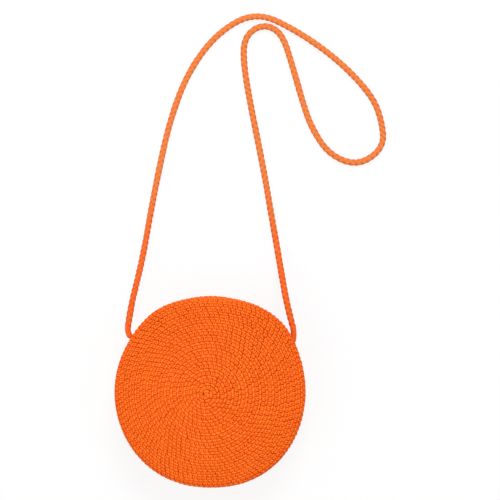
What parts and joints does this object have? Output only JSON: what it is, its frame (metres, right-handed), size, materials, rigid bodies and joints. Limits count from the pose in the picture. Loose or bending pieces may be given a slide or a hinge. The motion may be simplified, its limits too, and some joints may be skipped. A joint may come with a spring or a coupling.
{
  "type": "circle bag",
  "caption": "Round crocheted shoulder bag lying on its back, with a zip along its top edge, a mouth that folds open, and one long plaited strap sewn to both sides.",
  "frame": {"origin": "centre of the back panel, on the surface that the bag lies on", "axes": "+Z from the back panel to the front panel, +Y towards the zip at the top of the bag, +X to the right seen from the front"},
  "size_m": [0.2716, 0.4752, 0.053],
  "materials": {
    "crochet": "crocheted matt yarn",
    "strap": "plaited matt yarn",
    "strap_binding": "smooth bound thread",
    "lining": "plain woven cotton",
    "zip_tape": "woven tape",
    "zip_teeth": "moulded",
    "zip_metal": "satin"
  },
  "bodies": {
    "bag": {"back_panel": "crochet", "front_panel": "crochet", "gusset_band": "crochet", "zip_strip_back": "crochet", "zip_strip_front_ends": "crochet", "back_lining": "lining", "front_lining": "lining", "side_lining": "lining", "zip_tape_back": "zip_tape", "zip_tape_front_ends": "zip_tape", "zip_teeth_back": "zip_teeth", "zip_teeth_front_ends": "zip_teeth", "zip_bottom_stop": "zip_metal", "zip_top_stops": "zip_metal", "strap_sleeve_left": "strap_binding", "strap_sleeve_right": "strap_binding", "strap_cord": "strap"},
    "mouth_flap": {"flap_panel": "crochet", "zip_strip_front": "crochet", "flap_lining": "lining", "zip_tape_front": "zip_tape", "zip_teeth_front": "zip_teeth"},
    "zip_slider": {"slider_body": "zip_metal", "slider_crown": "zip_metal"},
    "zip_puller": {"pull_tab": "zip_metal"}
  },
  "joints": [
    {"name": "mouth_fold", "type": "hinge", "parent": "bag", "child": "mouth_flap", "pos_m": [0, 0.06758, 0.053], "axis": [1, 0, 0], "range_deg": [0, 45]},
    {"name": "slider_run", "type": "hinge", "parent": "bag", "child": "zip_slider", "pos_m": [0, 0, 0.025], "axis": [0, 0, 1], "range_deg": [0, 96.84]},
    {"name": "pull_swing", "type": "hinge", "parent": "zip_slider", "child": "zip_puller", "pos_m": [0.07144, 0.06338, 0.025], "axis": [0, 0, 1], "range_deg": [0, 180]}
  ]
}
